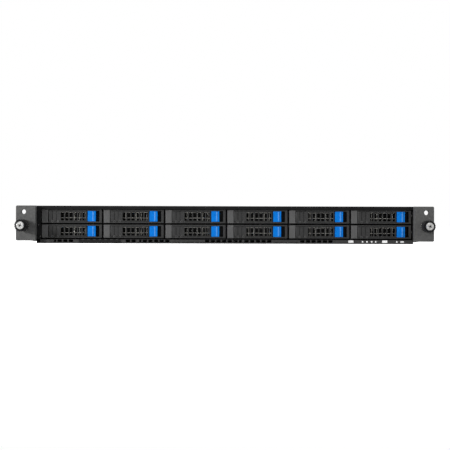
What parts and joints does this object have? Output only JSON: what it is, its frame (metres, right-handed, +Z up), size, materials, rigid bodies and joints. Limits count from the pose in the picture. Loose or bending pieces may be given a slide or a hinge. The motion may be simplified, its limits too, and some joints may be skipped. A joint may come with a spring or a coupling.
{
  "type": "1u rack server",
  "caption": "Flat rack server with sliding front drive trays, blue latches, rack ears with thumbscrews, removable lid, fans and slide-in power supplies.",
  "frame": {"origin": "centre of the bounding box's bottom: middle of the case in X and of the whole length in Y, at the underside", "axes": "+X to the right seen from the front, +Y to the back, +Z up; the drive trays face -Y"},
  "size_m": [0.4826, 0.746, 0.0436],
  "materials": {
    "galvanised_steel": "bright galvanised sheet",
    "ear_metal": "matt grey powder coat",
    "black_steel": "black painted sheet",
    "tray_metal": "grey coated",
    "lever_plastic": "moulded, fine texture",
    "latch_blue": "moulded, satin",
    "screw_steel": "bright plated",
    "circuit_board": "solder mask",
    "memory_board": "solder mask",
    "cooler_aluminium": "milled",
    "fan_plastic": "moulded",
    "supply_steel": "bright galvanised sheet",
    "release_plastic": "moulded",
    "white_button": "moulded",
    "tag_plastic": "moulded"
  },
  "bodies": {
    "chassis": {"chassis_base": "galvanised_steel", "rack_ears": "ear_metal", "drive_cage": "black_steel", "drive_backplane": "circuit_board", "control_board": "circuit_board", "fan_frames": "fan_plastic", "main_board": "circuit_board", "processor_coolers": "cooler_aluminium", "memory_modules": "memory_board"},
    "top_cover": {"top_cover": "galvanised_steel"},
    "left_thumbscrew": {"left_thumbscrew": "screw_steel"},
    "right_thumbscrew": {"right_thumbscrew": "screw_steel"},
    "fan_rotor_1": {"fan_rotor_1": "fan_plastic"},
    "fan_rotor_2": {"fan_rotor_2": "fan_plastic"},
    "fan_rotor_3": {"fan_rotor_3": "fan_plastic"},
    "fan_rotor_4": {"fan_rotor_4": "fan_plastic"},
    "fan_rotor_5": {"fan_rotor_5": "fan_plastic"},
    "tray_01": {"tray_01": "tray_metal"},
    "lever_01": {"lever_01": "lever_plastic"},
    "latch_01": {"latch_01": "latch_blue"},
    "tray_02": {"tray_02": "tray_metal"},
    "lever_02": {"lever_02": "lever_plastic"},
    "latch_02": {"latch_02": "latch_blue"},
    "tray_03": {"tray_03": "tray_metal"},
    "lever_03": {"lever_03": "lever_plastic"},
    "latch_03": {"latch_03": "latch_blue"},
    "tray_04": {"tray_04": "tray_metal"},
    "lever_04": {"lever_04": "lever_plastic"},
    "latch_04": {"latch_04": "latch_blue"},
    "tray_05": {"tray_05": "tray_metal"},
    "lever_05": {"lever_05": "lever_plastic"},
    "latch_05": {"latch_05": "latch_blue"},
    "tray_06": {"tray_06": "tray_metal"},
    "lever_06": {"lever_06": "lever_plastic"},
    "latch_06": {"latch_06": "latch_blue"},
    "tray_07": {"tray_07": "tray_metal"},
    "lever_07": {"lever_07": "lever_plastic"},
    "latch_07": {"latch_07": "latch_blue"},
    "tray_08": {"tray_08": "tray_metal"},
    "lever_08": {"lever_08": "lever_plastic"},
    "latch_08": {"latch_08": "latch_blue"},
    "tray_09": {"tray_09": "tray_metal"},
    "lever_09": {"lever_09": "lever_plastic"},
    "latch_09": {"latch_09": "latch_blue"},
    "tray_10": {"tray_10": "tray_metal"},
    "lever_10": {"lever_10": "lever_plastic"},
    "latch_10": {"latch_10": "latch_blue"},
    "tray_11": {"tray_11": "tray_metal"},
    "lever_11": {"lever_11": "lever_plastic"},
    "latch_11": {"latch_11": "latch_blue"},
    "tray_12": {"tray_12": "tray_metal"},
    "lever_12": {"lever_12": "lever_plastic"},
    "latch_12": {"latch_12": "latch_blue"},
    "power_button": {"power_button": "white_button"},
    "locate_button": {"locate_button": "white_button"},
    "info_tag": {"info_tag": "tag_plastic"},
    "power_supply_1": {"power_supply_1": "supply_steel"},
    "supply_latch_1": {"supply_latch_1": "release_plastic"},
    "power_supply_2": {"power_supply_2": "supply_steel"},
    "supply_latch_2": {"supply_latch_2": "release_plastic"}
  },
  "joints": [
    {"name": "top_cover_lift", "type": "slide", "parent": "chassis", "child": "top_cover", "axis": [0, 0, 1], "range_m": [0, 0.05]},
    {"name": "left_thumbscrew_turn", "type": "hinge", "parent": "chassis", "child": "left_thumbscrew", "pos_m": [-0.23255, -0.351, 0.0206], "axis": [0, -1, 0], "continuous": true},
    {"name": "right_thumbscrew_turn", "type": "hinge", "parent": "chassis", "child": "right_thumbscrew", "pos_m": [0.23255, -0.351, 0.0206], "axis": [0, -1, 0], "continuous": true},
    {"name": "fan_1_spin", "type": "hinge", "parent": "chassis", "child": "fan_rotor_1", "pos_m": [-0.168, -0.122, 0.0212], "axis": [0, 1, 0], "continuous": true},
    {"name": "fan_2_spin", "type": "hinge", "parent": "chassis", "child": "fan_rotor_2", "pos_m": [-0.084, -0.122, 0.0212], "axis": [0, 1, 0], "continuous": true},
    {"name": "fan_3_spin", "type": "hinge", "parent": "chassis", "child": "fan_rotor_3", "pos_m": [0, -0.122, 0.0212], "axis": [0, 1, 0], "continuous": true},
    {"name": "fan_4_spin", "type": "hinge", "parent": "chassis", "child": "fan_rotor_4", "pos_m": [0.084, -0.122, 0.0212], "axis": [0, 1, 0], "continuous": true},
    {"name": "fan_5_spin", "type": "hinge", "parent": "chassis", "child": "fan_rotor_5", "pos_m": [0.168, -0.122, 0.0212], "axis": [0, 1, 0], "continuous": true},
    {"name": "tray_01_slide", "type": "slide", "parent": "chassis", "child": "tray_01", "axis": [0, -1, 0], "range_m": [0, 0.125]},
    {"name": "lever_01_swing", "type": "hinge", "parent": "tray_01", "child": "lever_01", "pos_m": [-0.2048, -0.3379, 0.01405], "axis": [0, 0, -1], "range_deg": [0, 75]},
    {"name": "latch_01_press", "type": "slide", "parent": "tray_01", "child": "latch_01", "axis": [1, 0, 0], "range_m": [0, 0.003], "stiffness_N_per_m": 200},
    {"name": "tray_02_slide", "type": "slide", "parent": "chassis", "child": "tray_02", "axis": [0, -1, 0], "range_m": [0, 0.125]},
    {"name": "lever_02_swing", "type": "hinge", "parent": "tray_02", "child": "lever_02", "pos_m": [-0.1327, -0.3379, 0.01405], "axis": [0, 0, -1], "range_deg": [0, 75]},
    {"name": "latch_02_press", "type": "slide", "parent": "tray_02", "child": "latch_02", "axis": [1, 0, 0], "range_m": [0, 0.003], "stiffness_N_per_m": 200},
    {"name": "tray_03_slide", "type": "slide", "parent": "chassis", "child": "tray_03", "axis": [0, -1, 0], "range_m": [0, 0.125]},
    {"name": "lever_03_swing", "type": "hinge", "parent": "tray_03", "child": "lever_03", "pos_m": [-0.0606, -0.3379, 0.01405], "axis": [0, 0, -1], "range_deg": [0, 75]},
    {"name": "latch_03_press", "type": "slide", "parent": "tray_03", "child": "latch_03", "axis": [1, 0, 0], "range_m": [0, 0.003], "stiffness_N_per_m": 200},
    {"name": "tray_04_slide", "type": "slide", "parent": "chassis", "child": "tray_04", "axis": [0, -1, 0], "range_m": [0, 0.125]},
    {"name": "lever_04_swing", "type": "hinge", "parent": "tray_04", "child": "lever_04", "pos_m": [0.0115, -0.3379, 0.01405], "axis": [0, 0, -1], "range_deg": [0, 75]},
    {"name": "latch_04_press", "type": "slide", "parent": "tray_04", "child": "latch_04", "axis": [1, 0, 0], "range_m": [0, 0.003], "stiffness_N_per_m": 200},
    {"name": "tray_05_slide", "type": "slide", "parent": "chassis", "child": "tray_05", "axis": [0, -1, 0], "range_m": [0, 0.125]},
    {"name": "lever_05_swing", "type": "hinge", "parent": "tray_05", "child": "lever_05", "pos_m": [0.0836, -0.3379, 0.01405], "axis": [0, 0, -1], "range_deg": [0, 75]},
    {"name": "latch_05_press", "type": "slide", "parent": "tray_05", "child": "latch_05", "axis": [1, 0, 0], "range_m": [0, 0.003], "stiffness_N_per_m": 200},
    {"name": "tray_06_slide", "type": "slide", "parent": "chassis", "child": "tray_06", "axis": [0, -1, 0], "range_m": [0, 0.125]},
    {"name": "lever_06_swing", "type": "hinge", "parent": "tray_06", "child": "lever_06", "pos_m": [0.1557, -0.3379, 0.01405], "axis": [0, 0, -1], "range_deg": [0, 75]},
    {"name": "latch_06_press", "type": "slide", "parent": "tray_06", "child": "latch_06", "axis": [1, 0, 0], "range_m": [0, 0.003], "stiffness_N_per_m": 200},
    {"name": "tray_07_slide", "type": "slide", "parent": "chassis", "child": "tray_07", "axis": [0, -1, 0], "range_m": [0, 0.125]},
    {"name": "lever_07_swing", "type": "hinge", "parent": "tray_07", "child": "lever_07", "pos_m": [-0.2048, -0.3379, 0.03155], "axis": [0, 0, -1], "range_deg": [0, 75]},
    {"name": "latch_07_press", "type": "slide", "parent": "tray_07", "child": "latch_07", "axis": [1, 0, 0], "range_m": [0, 0.003], "stiffness_N_per_m": 200},
    {"name": "tray_08_slide", "type": "slide", "parent": "chassis", "child": "tray_08", "axis": [0, -1, 0], "range_m": [0, 0.125]},
    {"name": "lever_08_swing", "type": "hinge", "parent": "tray_08", "child": "lever_08", "pos_m": [-0.1327, -0.3379, 0.03155], "axis": [0, 0, -1], "range_deg": [0, 75]},
    {"name": "latch_08_press", "type": "slide", "parent": "tray_08", "child": "latch_08", "axis": [1, 0, 0], "range_m": [0, 0.003], "stiffness_N_per_m": 200},
    {"name": "tray_09_slide", "type": "slide", "parent": "chassis", "child": "tray_09", "axis": [0, -1, 0], "range_m": [0, 0.125]},
    {"name": "lever_09_swing", "type": "hinge", "parent": "tray_09", "child": "lever_09", "pos_m": [-0.0606, -0.3379, 0.03155], "axis": [0, 0, -1], "range_deg": [0, 75]},
    {"name": "latch_09_press", "type": "slide", "parent": "tray_09", "child": "latch_09", "axis": [1, 0, 0], "range_m": [0, 0.003], "stiffness_N_per_m": 200},
    {"name": "tray_10_slide", "type": "slide", "parent": "chassis", "child": "tray_10", "axis": [0, -1, 0], "range_m": [0, 0.125]},
    {"name": "lever_10_swing", "type": "hinge", "parent": "tray_10", "child": "lever_10", "pos_m": [0.0115, -0.3379, 0.03155], "axis": [0, 0, -1], "range_deg": [0, 75]},
    {"name": "latch_10_press", "type": "slide", "parent": "tray_10", "child": "latch_10", "axis": [1, 0, 0], "range_m": [0, 0.003], "stiffness_N_per_m": 200},
    {"name": "tray_11_slide", "type": "slide", "parent": "chassis", "child": "tray_11", "axis": [0, -1, 0], "range_m": [0, 0.125]},
    {"name": "lever_11_swing", "type": "hinge", "parent": "tray_11", "child": "lever_11", "pos_m": [0.0836, -0.3379, 0.03155], "axis": [0, 0, -1], "range_deg": [0, 75]},
    {"name": "latch_11_press", "type": "slide", "parent": "tray_11", "child": "latch_11", "axis": [1, 0, 0], "range_m": [0, 0.003], "stiffness_N_per_m": 200},
    {"name": "tray_12_slide", "type": "slide", "parent": "chassis", "child": "tray_12", "axis": [0, -1, 0], "range_m": [0, 0.125]},
    {"name": "lever_12_swing", "type": "hinge", "parent": "tray_12", "child": "lever_12", "pos_m": [0.1557, -0.3379, 0.03155], "axis": [0, 0, -1], "range_deg": [0, 75]},
    {"name": "latch_12_press", "type": "slide", "parent": "tray_12", "child": "latch_12", "axis": [1, 0, 0], "range_m": [0, 0.003], "stiffness_N_per_m": 200},
    {"name": "power_button_press", "type": "slide", "parent": "chassis", "child": "power_button", "axis": [0, 1, 0], "range_m": [0, 0.001], "stiffness_N_per_m": 400},
    {"name": "locate_button_press", "type": "slide", "parent": "chassis", "child": "locate_button", "axis": [0, 1, 0], "range_m": [0, 0.001], "stiffness_N_per_m": 400},
    {"name": "info_tag_slide", "type": "slide", "parent": "chassis", "child": "info_tag", "axis": [0, -1, 0], "range_m": [0, 0.04]},
    {"name": "power_supply_1_slide", "type": "slide", "parent": "chassis", "child": "power_supply_1", "axis": [0, 1, 0], "range_m": [0, 0.19]},
    {"name": "supply_latch_1_press", "type": "slide", "parent": "power_supply_1", "child": "supply_latch_1", "axis": [-1, 0, 0], "range_m": [0, 0.003], "stiffness_N_per_m": 400},
    {"name": "power_supply_2_slide", "type": "slide", "parent": "chassis", "child": "power_supply_2", "axis": [0, 1, 0], "range_m": [0, 0.19]},
    {"name": "supply_latch_2_press", "type": "slide", "parent": "power_supply_2", "child": "supply_latch_2", "axis": [-1, 0, 0], "range_m": [0, 0.003], "stiffness_N_per_m": 400}
  ]
}
